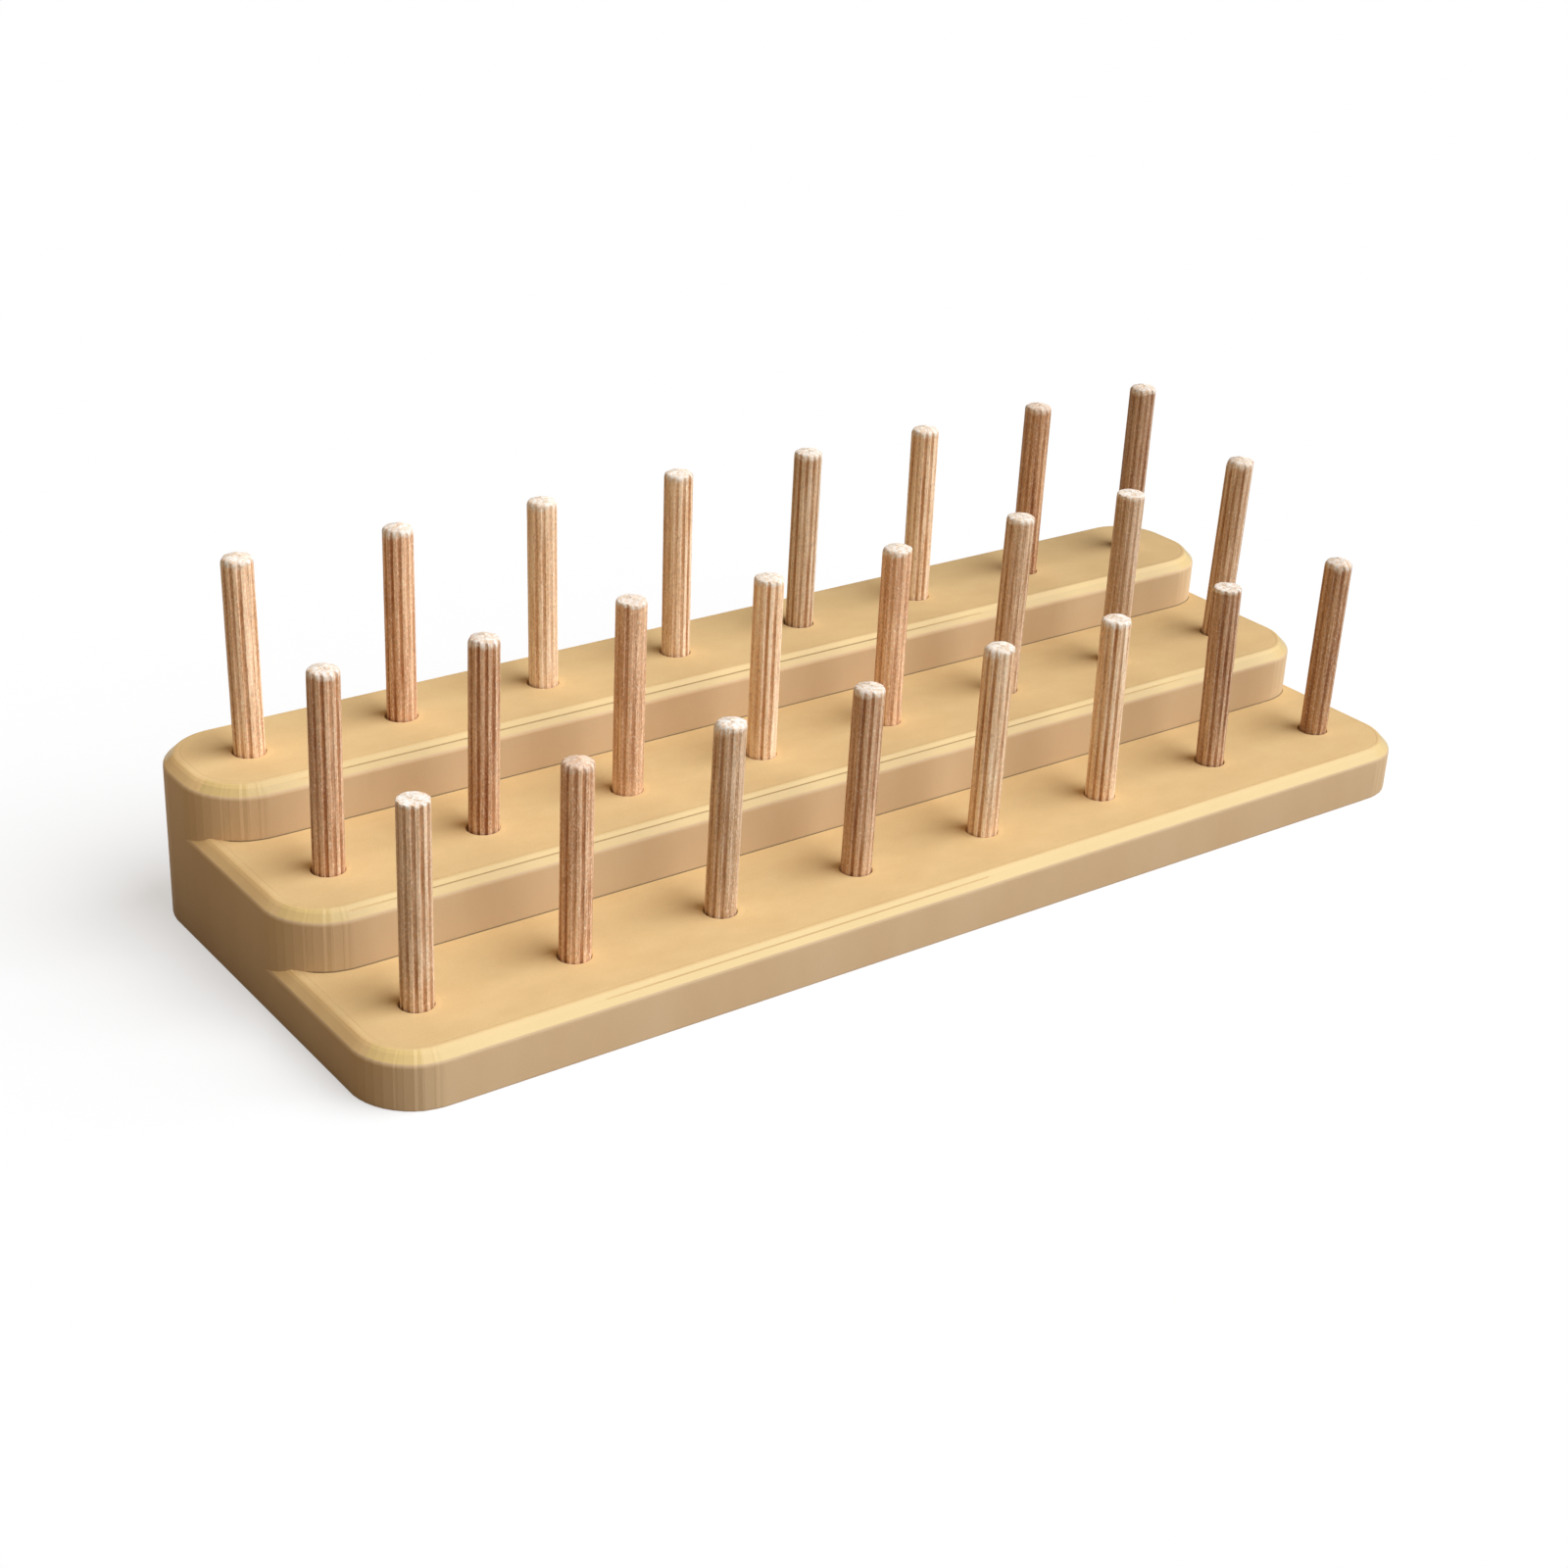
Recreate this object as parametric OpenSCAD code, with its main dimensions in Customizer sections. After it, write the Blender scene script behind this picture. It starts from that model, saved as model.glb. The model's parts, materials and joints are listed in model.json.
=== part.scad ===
// Stepped stand for sewing thread spools.
// One printed base with three treads, like a short flight of stairs, and three rows of loose
// fluted wooden dowel pegs that drop into blind sockets. A spool is slipped over each peg.
// Millimetres. +Z is up, +X runs along the treads to the right and +Y to the back.
// The origin is the middle of the underside.

/* [Base] */
// Length of the base from its left side to its right side
base_length = 253; // [200:1:400]
// Depth of the base from front to back
base_depth = 95; // [91:1:140]
// Depth of the front tread and of the middle tread; the back tread has what is left
tread_depth = 32.4; // [24:0.2:34]
// Height of the front tread above the table
front_height = 11; // [10.6:0.2:20]
// Rise from the front tread up to the middle tread
middle_rise = 11.6; // [5:0.2:20]
// Rise from the middle tread up to the back tread
back_rise = 10.7; // [5:0.1:20]
// Radius of the upright corners, seen from above
corner_radius = 12.5; // [5:0.5:13]
// How far the bevel round each tread reaches in from the wall
bevel_width = 2.4; // [0.8:0.1:3.5]
// How far the bevel round each tread reaches down the wall
bevel_height = 2.1; // [0.8:0.1:3.5]

/* [Rows of pegs] */
// Distance from the left or right wall to the axis of the nearest peg
end_margin = 15; // [8:0.5:30]
// Depth of each socket below its tread
socket_depth = 9.8; // [6:0.2:10.4]
// Gap all round between a peg and its socket, which lets the peg drop in and lift out
socket_gap = 0.2; // [0.15:0.05:1]

/* [Pegs] */
// Whole length of a peg, with the part that stands in the socket
peg_length = 49; // [30:0.5:80]
// Diameter of a peg over the lands between its flutes
peg_diameter = 6; // [4.6:0.1:9]
// Number of flutes round a peg
flute_count = 12; // [8:1:14]
// Width of a flute across its mouth
flute_width = 0.75; // [0.4:0.05:0.95]
// Depth of a flute at its middle
flute_depth = 0.4; // [0.2:0.05:0.45]
// How far the flutes are turned about the peg's axis, in degrees
flute_turn = 9; // [0:1:29]
// Bevel on the rim at both ends of a peg
peg_bevel = 0.4; // [0.2:0.1:0.8]

/* [Hidden] */
// Number of pegs in each row: the nodes below are named for it
pegs_per_row = 8;

// Colours of the two materials: tan printed plastic and reddish beech
printed_tan = [0.86, 0.70, 0.48];
beech = [0.74, 0.51, 0.34];

// Any value over twelve gives a true circle
$fn = 64;

// Cutters run this far past the face that they open
overrun = 1;

// The front and back walls, and the walls where each higher tread starts
front_wall = -base_depth / 2;
middle_wall = front_wall + tread_depth;
back_row_wall = middle_wall + tread_depth;
rear_wall = base_depth / 2;

// Heights of the three treads above the table
middle_height = front_height + middle_rise;
back_height = middle_height + back_rise;

// Each row stands along the middle of its tread: [Y of the row, height of its tread]
front_row = [(front_wall + middle_wall) / 2, front_height];
middle_row = [(middle_wall + back_row_wall) / 2, middle_height];
back_row = [(back_row_wall + rear_wall) / 2, back_height];
rows = [front_row, middle_row, back_row];

// Spacing of the pegs along a row
peg_pitch = (base_length - 2 * end_margin) / (pegs_per_row - 1);

// Radius of the round cutter whose mouth and depth on the peg's surface are the flute's
flute_radius = (flute_width * flute_width / 4 + flute_depth * flute_depth) / (2 * flute_depth);
flute_centre = peg_diameter / 2 - flute_depth + flute_radius;

// X of a peg's axis, by its place from the left, 1 to 8
function peg_x(place) = (place - 1) * peg_pitch - (base_length / 2 - end_margin);

// Cross-section of a bar: two upright walls, each with a bevelled shoulder
module shouldered_profile(half_width, height) {
    polygon([
        [-half_width, 0],
        [half_width, 0],
        [half_width, height - bevel_height],
        [half_width - bevel_width, height],
        [bevel_width - half_width, height],
        [-half_width, height - bevel_height]
    ]);
}

// One rounded corner: an upright post whose rim carries the same bevel
module shouldered_post(radius, height) {
    cylinder(h = height - bevel_height, r = radius);
    translate([0, 0, height - bevel_height])
        cylinder(h = bevel_height, r1 = radius, r2 = radius - bevel_width);
}

// One tier of the stairs, from the table up to its tread and from its own front wall to the
// rear wall: two crossing bars and four corner posts, all with one shoulder
module tier(wall, height) {
    half_length = base_length / 2;
    half_depth = (rear_wall - wall) / 2;
    radius = min(corner_radius, half_depth - 0.1);
    translate([0, (wall + rear_wall) / 2, 0]) {
        rotate([90, 0, 90])
            translate([0, 0, radius - half_length])
                linear_extrude(height = 2 * (half_length - radius))
                    shouldered_profile(half_depth, height);
        rotate([90, 0, 0])
            translate([0, 0, radius - half_depth])
                linear_extrude(height = 2 * (half_depth - radius))
                    shouldered_profile(half_length, height);
        for (side = [-1, 1], end = [-1, 1]) {
            translate([side * (half_length - radius), end * (half_depth - radius), 0])
                shouldered_post(radius, height);
        }
    }
}

// The blind round socket that a peg stands in, opened a little above its tread
module socket(row, place) {
    translate([peg_x(place), row[0], row[1] - socket_depth])
        cylinder(h = socket_depth + overrun, d = peg_diameter + 2 * socket_gap);
}

// The base is one solid: three tiers that share both side walls and the rear wall
module base() {
    color(printed_tan)
        difference() {
            union() {
                tier(front_wall, front_height);
                tier(middle_wall, middle_height);
                tier(back_row_wall, back_height);
            }
            for (row = rows, place = [1 : pegs_per_row]) {
                socket(row, place);
            }
        }
}

// A dowel with both rims bevelled, before its flutes are pressed in
module plain_dowel() {
    radius = peg_diameter / 2;
    cylinder(h = peg_bevel, r1 = radius - peg_bevel, r2 = radius);
    translate([0, 0, peg_bevel])
        cylinder(h = peg_length - 2 * peg_bevel, r = radius);
    translate([0, 0, peg_length - peg_bevel])
        cylinder(h = peg_bevel, r1 = radius, r2 = radius - peg_bevel);
}

// A fluted dowel peg that stands on the floor of its socket
module peg(row, place) {
    color(beech)
        translate([peg_x(place), row[0], row[1] - socket_depth])
            difference() {
                plain_dowel();
                for (flute = [0 : flute_count - 1]) {
                    rotate([0, 0, flute_turn + flute * 360 / flute_count])
                        translate([flute_centre, 0, -overrun])
                            cylinder(h = peg_length + 2 * overrun, r = flute_radius);
                }
            }
}

base();
peg(front_row, 1);  // peg_front_1
peg(front_row, 2);  // peg_front_2
peg(front_row, 3);  // peg_front_3
peg(front_row, 4);  // peg_front_4
peg(front_row, 5);  // peg_front_5
peg(front_row, 6);  // peg_front_6
peg(front_row, 7);  // peg_front_7
peg(front_row, 8);  // peg_front_8
peg(middle_row, 1);  // peg_middle_1
peg(middle_row, 2);  // peg_middle_2
peg(middle_row, 3);  // peg_middle_3
peg(middle_row, 4);  // peg_middle_4
peg(middle_row, 5);  // peg_middle_5
peg(middle_row, 6);  // peg_middle_6
peg(middle_row, 7);  // peg_middle_7
peg(middle_row, 8);  // peg_middle_8
peg(back_row, 1);  // peg_back_1
peg(back_row, 2);  // peg_back_2
peg(back_row, 3);  // peg_back_3
peg(back_row, 4);  // peg_back_4
peg(back_row, 5);  // peg_back_5
peg(back_row, 6);  // peg_back_6
peg(back_row, 7);  // peg_back_7
peg(back_row, 8);  // peg_back_8
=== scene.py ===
# %% [markdown]
# # A stepped stand for sewing thread spools
#
# The stand is two things: a low block of three steps, printed in tan plastic, and 24 fluted
# wooden dowels that stand loose in its sockets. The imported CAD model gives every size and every
# moving body, so it is loaded first and nothing in it is moved. What is made below either stands
# for a CAD node or lights it.

import json
import math

import bmesh
import bpy
import numpy as np
from mathutils import Euler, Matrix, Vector
from mathutils.geometry import delaunay_2d_cdt


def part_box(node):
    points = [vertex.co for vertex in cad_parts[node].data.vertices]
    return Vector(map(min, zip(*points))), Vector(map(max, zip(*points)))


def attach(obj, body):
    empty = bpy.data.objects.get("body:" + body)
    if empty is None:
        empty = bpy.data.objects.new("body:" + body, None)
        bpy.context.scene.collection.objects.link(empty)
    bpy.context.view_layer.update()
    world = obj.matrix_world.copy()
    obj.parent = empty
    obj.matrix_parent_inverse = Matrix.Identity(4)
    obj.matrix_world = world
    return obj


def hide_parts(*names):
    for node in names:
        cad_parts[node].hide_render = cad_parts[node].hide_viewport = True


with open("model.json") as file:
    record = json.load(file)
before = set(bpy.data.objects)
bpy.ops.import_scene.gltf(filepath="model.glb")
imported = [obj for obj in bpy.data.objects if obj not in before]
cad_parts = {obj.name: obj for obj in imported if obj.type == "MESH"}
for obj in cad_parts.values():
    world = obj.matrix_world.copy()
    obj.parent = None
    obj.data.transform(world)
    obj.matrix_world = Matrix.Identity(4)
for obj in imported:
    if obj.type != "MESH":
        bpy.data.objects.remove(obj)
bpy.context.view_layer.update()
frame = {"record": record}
scene = bpy.context.scene

# %% [markdown]
# ## The camera
#
# The photograph was taken from the front left, from about 26 degrees above the table, with the
# camera tipped a little to one side. A camera can be placed by eye or worked out. Here it was
# worked out from the corners of the block, whose length and depth are known, so the render can
# be laid over the photograph.

# %% Place the camera
camera_data = bpy.data.cameras.new("camera")
camera_data.sensor_width = 36
camera_data.lens = 57.3006
camera_data.clip_start = 0.01
camera = bpy.data.objects.new("camera", camera_data)
camera.location = (-0.286657, -0.362209, 0.234510)
camera.rotation_euler = Euler([math.radians(a) for a in (64.2249, -2.5371, -36.0985)])
scene.collection.objects.link(camera)
scene.camera = camera
print("camera to the middle of the block, mm:", round(1000 * camera.location.length))

# %% [markdown]
# ## Small helpers for materials
#
# A material is a net of nodes. One function adds a node with its settings and its links, and
# another turns a written colour to the linear values that Blender mixes.

# %% Add one node
def add(tree, kind, inputs=None, **settings):
    """Adds a shader node. Settings are its own properties; an input is a value or an output."""
    made = tree.nodes.new("ShaderNode" + kind)
    for name, value in settings.items():
        setattr(made, name, value)
    for name, value in (inputs or {}).items():
        if isinstance(value, bpy.types.NodeSocket):
            tree.links.new(value, made.inputs[name])
        else:
            made.inputs[name].default_value = value
    return made


# %% Turn a written colour to linear
def linear(code):
    """The sRGB curve undone: c / 12.92 near black, and ((c + 0.055) / 1.055) ** 2.4 above."""
    c = np.array([int(code[i : i + 2], 16) for i in (1, 3, 5)]) / 255
    c = np.where(c <= 0.04045, c / 12.92, ((c + 0.055) / 1.055) ** 2.4)
    return (*(float(v) for v in c), 1.0)


# %% Start a material or a world with no nodes in it
def blank(owner):
    owner.use_nodes = True
    owner.node_tree.nodes.clear()
    return owner.node_tree


# %% [markdown]
# ## Soft light and a pale floor
#
# The stand was lit by a wide window: the steps and the right of each dowel are bright, the left
# wall is in shade, and a dowel's shadow has faded a few millimetres from its foot. The lamp
# could be a large area light close by, but a sun lamp that is 60 degrees wide gives the same
# soft shadow at the same strength everywhere. Lamp and sky add up to one on a level surface, so
# a colour on the steps renders about as it is written. The floor and the sky look white to the
# camera and in reflections, and send only a little light back, as a dim room does.

# %% The window
SKY = np.array([0.21, 0.155, 0.095])
SUN = 1 - SKY
TOWARDS_SUN = Vector((0.42, -0.47, 0.74)).normalized()

window = bpy.data.lights.new("window", "SUN")
window.angle = math.radians(60)
window.color = SUN / SUN.max()
window.energy = float(SUN.max()) / TOWARDS_SUN.z * math.pi
window_object = bpy.data.objects.new("window", window)
window_object.rotation_mode = "QUATERNION"
window_object.rotation_quaternion = TOWARDS_SUN.to_track_quat("Z", "Y")
scene.collection.objects.link(window_object)
print("light on a level surface:", SKY + SUN)


# %% One where the camera or a reflection looks, and nought for light on its way
def looked_at(tree):
    path = add(tree, "LightPath")
    seen = add(tree, "Math", {0: path.outputs["Is Camera Ray"], 1: path.outputs["Is Glossy Ray"]},
               operation="MAXIMUM")
    return add(tree, "Math", {0: seen.outputs[0], 1: path.outputs["Is Transmission Ray"]},
               operation="MAXIMUM").outputs[0]


# %% The sky
WHITE = (1, 1, 1, 1)
sky = bpy.data.worlds.new("dim room")
scene.world = sky
tree = blank(sky)
colour = add(tree, "Mix", {0: looked_at(tree), 6: (*SKY, 1), 7: WHITE}, data_type="RGBA")
background = add(tree, "Background", {"Color": colour.outputs[2], "Strength": 1.0})
add(tree, "OutputWorld", {"Surface": background.outputs[0]})

# %% The floor: its colour for the light that it sends back, and its glow where it is looked at
SENT_BACK = (0.36, 0.27, 0.17, 1)
GLOW = 0.55
FLOOR_HALF, FLOOR_Z = 4, -0.00005

paper = bpy.data.materials.new("matt white paper")
tree = blank(paper)
seen = looked_at(tree)
colour = add(tree, "Mix", {0: seen, 6: SENT_BACK, 7: WHITE}, data_type="RGBA")
matt = add(tree, "BsdfDiffuse", {"Color": colour.outputs[2]})
glow = add(tree, "Emission", {"Color": WHITE, "Strength": 1.0})
share = add(tree, "Math", {0: seen, 1: GLOW}, operation="MULTIPLY")
both = add(tree, "MixShader", {0: share.outputs[0], 1: matt.outputs[0], 2: glow.outputs[0]})
add(tree, "OutputMaterial", {"Surface": both.outputs[0]})

floor_mesh = bpy.data.meshes.new("floor")
sheet = [(x * FLOOR_HALF, y * FLOOR_HALF, FLOOR_Z) for x, y in ((-1, -1), (1, -1), (1, 1), (-1, 1))]
floor_mesh.from_pydata(sheet, [], [(0, 1, 2, 3)])
floor_mesh.materials.append(paper)
floor = bpy.data.objects.new("floor", floor_mesh)
scene.collection.objects.link(floor)

# %% [markdown]
# ## The printed block: sizes
#
# The block is printed in one piece. Its print file had coarse round corners, eleven flats to a
# quarter turn, and the printer added its own marks: a groove halfway down the bevels, a bead
# and a dip along their tops, ripples where the nozzle came out of a corner, a lip round each
# socket and a fine crease at the foot of each riser. The groove, the dip and the crease are also
# painted darker, as shade. The CAD solid with a bump texture could stand for all this, but marks
# that catch the light look right only as real surface, so the block is worked out anew on the
# CAD model's sizes.

# %% Sizes of the block, in millimetres
MM = 0.001
low, high = (np.array(c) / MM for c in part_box("base"))
HALF_LENGTH, REAR = float(high[0]), float(high[1])
STEP_DEPTH = 32.4
WALLS = [float(low[1]) + k * STEP_DEPTH for k in range(3)]
MOUNTS = {m["name"]: [c / MM for c in m["pos_m"]] for m in frame["record"]["mounts"]}
_, PEG_Y, TREADS = zip(*(MOUNTS[row + "_tread"] for row in ("front", "middle", "back")))
PEG_X = [at[0] for name, at in MOUNTS.items() if name.startswith("spool_peg_front_")]
RADIUS = 12.5
BEVEL_WIDTH, BEVEL_HEIGHT = 2.4, 2.1
SOCKET_RADIUS, SOCKET_DEPTH = 3.2, 9.8
FLIP = np.array([-1.0, 1.0])
print("walls at", [round(w, 2) for w in WALLS], "treads at", [round(t, 2) for t in TREADS])
print("pegs at", np.round(PEG_X, 2), "in rows at", np.round(PEG_Y, 2))

# %% [markdown]
# ## The profile of an edge
#
# Seen in section, the edge of a step is an upright wall, a bevel and a flat tread. The nozzle
# lays round beads, so no edge is truly sharp. The profile is a short list of points whose
# corners a curve then rounds, and the fine grooves are further points on it. At the sides the
# print's bevel is plain and a little narrower than in front. Every place on the profile is
# given by how far in from the wall it lies.

# %% Round the corners of a profile
def rounded(points, cut, steps):
    """Each inner point P gives way to the curve (1-t)^2 A + 2t(1-t) P + t^2 B. Its ends A and B
    lie on the two sides that meet in P, at most `cut` from it."""
    points = np.array(points, float)
    before, point, after = points[:-2], points[1:-1], points[2:]

    def towards(target):
        gap = target - point
        far = np.linalg.norm(gap, axis=1, keepdims=True)
        return (point + gap * np.minimum(cut / far, 0.45))[:, None]

    t = np.linspace(0, 1, steps)[None, :, None]
    curve = (1 - t) ** 2 * towards(before) + 2 * t * (1 - t) * point[:, None]
    curve = curve + t**2 * towards(after)
    return np.concatenate([points[:1], curve.reshape(-1, 2), points[-1:]])


# %% The profile from the wall over the bevel to the tread: how far in, and height
GROOVE_HALF, GROOVE_DEEP = 0.14, 0.05
GROOVE_AT = (1.4, 1.5, 1.3)
SIDE_WIDTH = 2.1
WALL_PART = 1.1
DIP_FROM, DIP_AT, DIP_DEEP, RIM_IN = 2.85, 3.05, 0.04, 3.4


def edge_profile(groove_at, deep, width=BEVEL_WIDTH):
    """Outer arris, groove part of the way up the bevel, inner arris, and a dip along the rim."""
    slope = np.array([width, BEVEL_HEIGHT]) / math.hypot(width, BEVEL_HEIGHT)
    into = np.array([slope[1], -slope[0]])
    on_bevel = np.array([0, -BEVEL_HEIGHT]) + slope * groove_at * math.hypot(1, slope[1] / slope[0])
    below, above = on_bevel - slope * GROOVE_HALF, on_bevel + slope * GROOVE_HALF
    foot = [(0, -BEVEL_HEIGHT - WALL_PART), (0, -BEVEL_HEIGHT), below]
    lower = rounded(foot, cut=0.45, steps=7)[1:]
    upper = rounded([above, (width, 0), (DIP_FROM, 0)], cut=0.3, steps=5)
    dip = rounded([(DIP_FROM, 0), (DIP_AT, -DIP_DEEP), (RIM_IN, 0)], cut=0.15, steps=3)[1:]
    return np.concatenate([lower, [on_bevel + deep * into], upper, dip])


EDGES = [edge_profile(at, GROOVE_DEEP) for at in GROOVE_AT]
PLAIN_EDGES = [edge_profile(at, 0) for at in GROOVE_AT]
SIDE_EDGE = edge_profile(1.2, 0, SIDE_WIDTH)
print("points:", len(EDGES[0]), "smallest step in:",
      round(min(float(np.diff(e[:, 0]).min()) for e in EDGES), 4))

# %% [markdown]
# ## The outline of a step
#
# From above, each step is a rectangle with round corners. A round corner could be a true arc,
# but this print's corners are eleven flats whose edges catch the light, so the outline is a
# polygon round the circle. Each of its points has a direction in which it moves when the
# outline shrinks, so one outline gives every level of the bevel.

# %% The polygon's corners and the places between them
FLATS = 11
HALF_FLAT = math.pi / 4 / FLATS
TURN = (2 * np.arange(FLATS) + 1) * HALF_FLAT
KNOTS = -np.stack([np.cos(TURN), np.sin(TURN)], 1) / math.cos(HALF_FLAT)


def corner_ways(places):
    """Direction of shrinking at each place of the front left corner. Place k is the polygon's
    corner at 180 + (2k + 1) half flats, and places between lie on the flat between two."""
    return np.stack([np.interp(places, np.arange(FLATS), KNOTS[:, a]) for a in (0, 1)], 1)


# %% Where the polygon of a higher step cuts the bevel of the step below
APART, JUST = 0.01, 1e-6


def between(values, low, high):
    return (values > low) & (values < high)


knot_in = RADIUS * (1 + KNOTS[:, 0])
cuts = knot_in[between(knot_in, APART, RIM_IN - APART)]
across = np.unique(np.concatenate([edge[:, 0] for edge in [*EDGES, SIDE_EDGE]]))
across = across[np.abs(across[:, None] - cuts[None]).min(1) > APART]
across = across[np.concatenate([[True], np.diff(across) > APART])]
BEVEL_IN = np.sort(np.concatenate([across, cuts]))
BEVEL_Z = [np.interp(BEVEL_IN, edge[:, 0], edge[:, 1]) for edge in EDGES]
PLAIN_Z = [np.interp(BEVEL_IN, edge[:, 0], edge[:, 1]) for edge in PLAIN_EDGES]
SIDE_Z = np.interp(BEVEL_IN, SIDE_EDGE[:, 0], SIDE_EDGE[:, 1])
MEETS = np.interp(BEVEL_IN, knot_in, np.arange(FLATS))
RIPPLE_AT = (4.94, 5.19, 5.43, 5.86, 6, 7, 7.32, 7.75, 8.1, 8.89, 9.16, 9.4, 9.74, 10)
PLACES = np.unique(np.round(np.concatenate([np.arange(FLATS), MEETS, RIPPLE_AT]), 9))
PLACES = PLACES[np.concatenate([[True], np.diff(PLACES) > JUST])]
print("rows over the bevel:", len(BEVEL_IN), "places round a corner:", len(PLACES))

# %% [markdown]
# ## Ripples beside the corner
#
# A nozzle that turns a corner shakes for a moment, and leaves upright ripples on the wall, here
# of up to six hundredths of a millimetre. They are drawn where the photograph shows them, at
# places that count the flats round the corner from the left.

# %% The ripple on the wall at each place round a front corner
RIPPLE_OUT = (0, -0.02, 0.01, -0.01, 0, 0.05, 0, 0.06, 0.01, -0.05, -0.02, -0.04, -0.02, -0.05)
RIPPLE = np.interp(PLACES, [*RIPPLE_AT, 10.4], [*RIPPLE_OUT, 0]) * (PLACES > RIPPLE_AT[0])
FRONT_X = np.linspace(-HALF_LENGTH + RADIUS, HALF_LENGTH - RADIUS, 87)[1:-1]
print("strongest ripple, mm:", round(float(np.abs(RIPPLE).max()), 3))


# %% The front of a step: left corner, front wall, right corner, as points and ways
def front_of(step):
    """Point = corner centre + (radius + ripple) * way in the corners, and the wall between."""
    ways = corner_ways(PLACES)
    centre = np.array([-HALF_LENGTH + RADIUS, WALLS[step] + RADIUS])
    left = centre + ways * (RADIUS + RIPPLE[:, None])
    wall = np.stack([FRONT_X, FRONT_X * 0 + WALLS[step]], 1)
    points = np.concatenate([left, wall, (left * FLIP)[::-1]])
    return points, np.concatenate([ways, wall * 0 + (0, -1), (ways * FLIP)[::-1]])


# %% The places along the left and right walls where something starts or ends
centres_y = [w + RADIUS for w in WALLS]
starts_y = [c + RADIUS * KNOTS[0, 1] for c in centres_y]
rim_place = float(MEETS[-1])
rim_knot = float(np.interp(rim_place, np.arange(FLATS), KNOTS[:, 1]))
rim_y = [c + RADIUS * rim_knot for c in centres_y]
rear_y = REAR - RADIUS - RADIUS * KNOTS[0, 1]
SIDE_Y = np.concatenate([
    np.linspace(starts_y[0], rim_y[1] - 1, 9), np.linspace(starts_y[1], rim_y[2] - 1, 9),
    [starts_y[2], rear_y],
])
print("side wall divided at", np.round(SIDE_Y, 1))


# %% The rest of a step: right wall, rear wall and left wall, from its front's end to its start
def behind(step):
    """The same flats run round the two rear corners, turned by a quarter each time."""
    ways = corner_ways(np.arange(FLATS))
    side = SIDE_Y[SIDE_Y > starts_y[step] + JUST][:-1]
    right = np.stack([side * 0 + HALF_LENGTH, side], 1)
    centre = np.array([HALF_LENGTH - RADIUS, REAR - RADIUS])
    rear_x = np.linspace(HALF_LENGTH - RADIUS, -HALF_LENGTH + RADIUS, 12)[1:-1]
    rear = np.stack([rear_x, rear_x * 0 + REAR], 1)
    corner = centre - ways * RADIUS
    points = [right, corner, rear, (corner * FLIP)[::-1], (right * FLIP)[::-1]]
    right_way, rear_way = right * 0 + (1, 0), rear * 0 + (0, 1)
    turned = [right_way, -ways, rear_way, (-ways * FLIP)[::-1], right_way * FLIP]
    return np.concatenate(points), np.concatenate(turned)


# %% [markdown]
# ## Strips of surface
#
# The block's whole skin is made of strips: rows of points that run alike along a path, joined
# by four-sided faces. Every strip goes into one list, with a note of what kind of face it is,
# and at the end all of them are welded into one closed mesh.

# %% A strip from a grid of points, and the list that gathers them
skin = []


def spread_out(values, shape):
    """Values for a grid of faces: one for all, one for each row, or one for each face."""
    values = np.asarray(values, float)
    return np.broadcast_to(values[:, None] if values.ndim == 1 else values, shape).reshape(-1)


def grid_faces(rows, columns, closed):
    """Face (r, c) joins (r, c), (r, c+1), (r+1, c+1), (r+1, c). Seen from outside, columns run
    to the right and rows run up. In a closed grid the last column is joined to the first."""
    index = np.arange(rows * columns).reshape(rows, columns)
    nearer = index if closed else index[:, :-1]
    further = np.roll(index, -1, axis=1) if closed else index[:, 1:]
    return np.stack([nearer[:-1], further[:-1], further[1:], nearer[1:]], -1)


def strip(grid, kind, tone=1.0, closed=False):
    faces = grid_faces(*grid.shape[:2], closed)
    kinds, tones = (spread_out(values, faces.shape[:2]) for values in (kind, tone))
    skin.append((grid.reshape(-1, 3), faces.reshape(-1, 4), kinds, tones))


def at_height(points, z):
    """Flat points with a height, one for all or one for each."""
    return np.concatenate([points, np.broadcast_to(z, points.shape[:1])[:, None]], 1)


# %% [markdown]
# ## The walls and bevels
#
# The lowest wall runs round the whole block, up to the first bevel. From there, each step's
# bevel comes round its front and dies into the corner of the step above, while the wall of
# that step rises from the very line where they meet. The rear and side walls run on unbroken.
# Each face has a kind, which is the number of its finish, and a tone, a factor on its colour,
# which carries painted light and painted shade.

# %% How far the groove shows along the front of each step: pairs of X and a share
WALL, BEVEL, TREAD = range(3)
GROOVE_SHOWS = (
    ((-85, 0), (-65, 0.5), (-10, 0.5), (12, 0)),
    ((-114, 0), (-98, 1), (45, 1), (70, 0.4), (95, 0)),
    ((-110, 0), (-98, 1), (28, 1), (45, 0.3), (60, 0)),
)


def groove_share(step, points, ways):
    """0 where the bevel is plain, as in the corners and at the sides, and 1 where the groove is
    at its full depth."""
    along, share = np.array(GROOVE_SHOWS[step], float).T
    return np.interp(points[:, 0], along, share) * (ways[:, 1] < -0.999)


def side_share(ways):
    """1 at the left and right, and 0 in front and behind."""
    return np.abs(ways[:, 0]) / np.linalg.norm(ways, axis=1)


# %% The tone of a wall, which paints light and shade on it
# Painted light and shade on the fronts and corners of the walls, for each of the three steps
FRONT_PAINTED_LIGHT, CORNER_PAINTED_LIGHT = (1.06, 0.965, 0.9), (0, 0.03, 0.09)


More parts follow.
